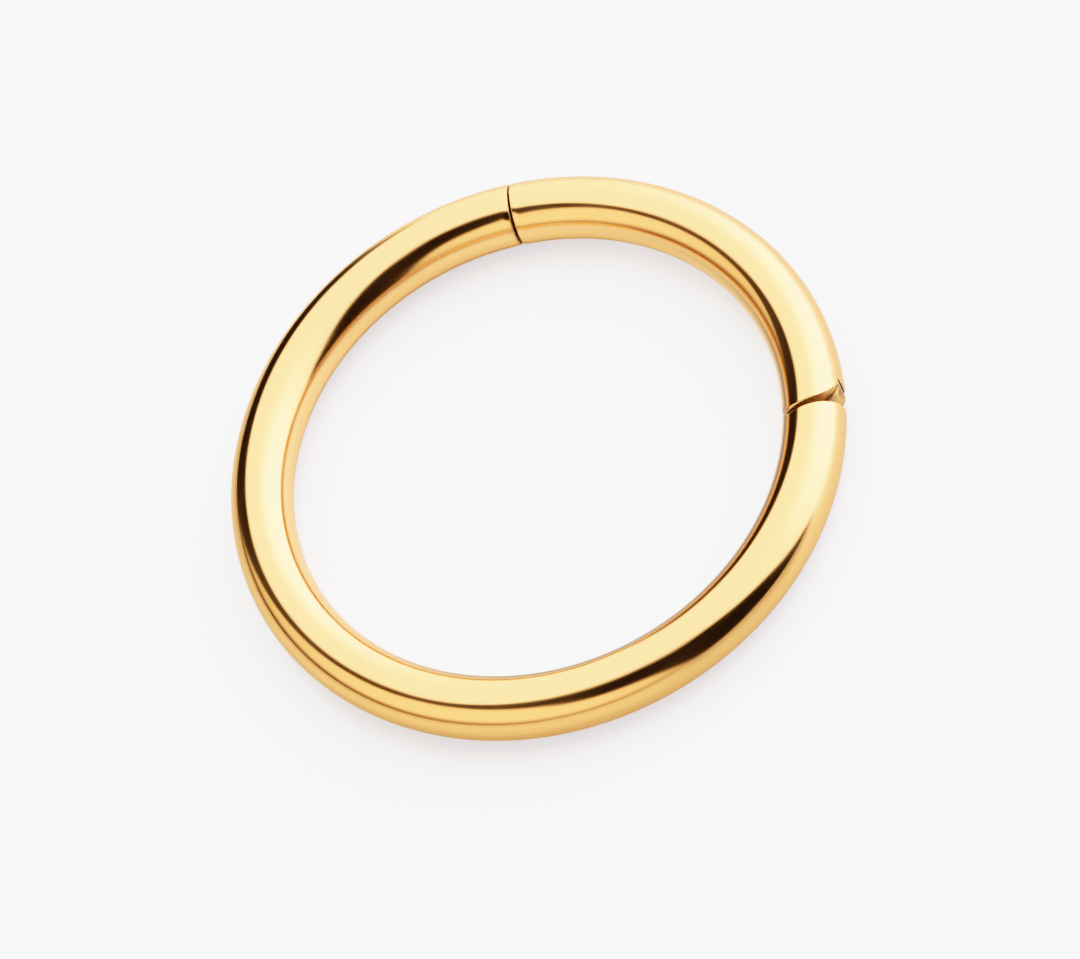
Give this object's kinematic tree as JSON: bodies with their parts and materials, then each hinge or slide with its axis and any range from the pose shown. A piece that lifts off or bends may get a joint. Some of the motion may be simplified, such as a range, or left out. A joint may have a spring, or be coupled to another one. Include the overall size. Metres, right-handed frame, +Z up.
{
  "type": "clicker ring",
  "caption": "Plain round-wire clicker ring for body piercings, whose front segment swings outward on a forked hinge and shuts on a hidden post.",
  "frame": {"origin": "centre of the ring, on the surface that it lies flat on", "axes": "+Z is up, along the axis of the ring's hole; the hinge lies 25 degrees from +X towards -Y, and the clasp 69.5 degrees from +X towards +Y"},
  "size_m": [0.012, 0.012, 0.0012],
  "materials": {
    "polished_gold": "mirror-polished, yellow-gold coat",
    "satin_gold": "as drawn and cut, under the same gold coat"
  },
  "bodies": {
    "hoop": {"hoop": "polished_gold"},
    "segment": {"segment": "polished_gold", "hinge_pin": "polished_gold", "latch_post": "satin_gold"}
  },
  "joints": [
    {"name": "segment_hinge", "type": "hinge", "parent": "hoop", "child": "segment", "pos_m": [0.00528, -0.00205, 0.0006], "axis": [0, 0, -1], "range_deg": [0, 70]}
  ]
}
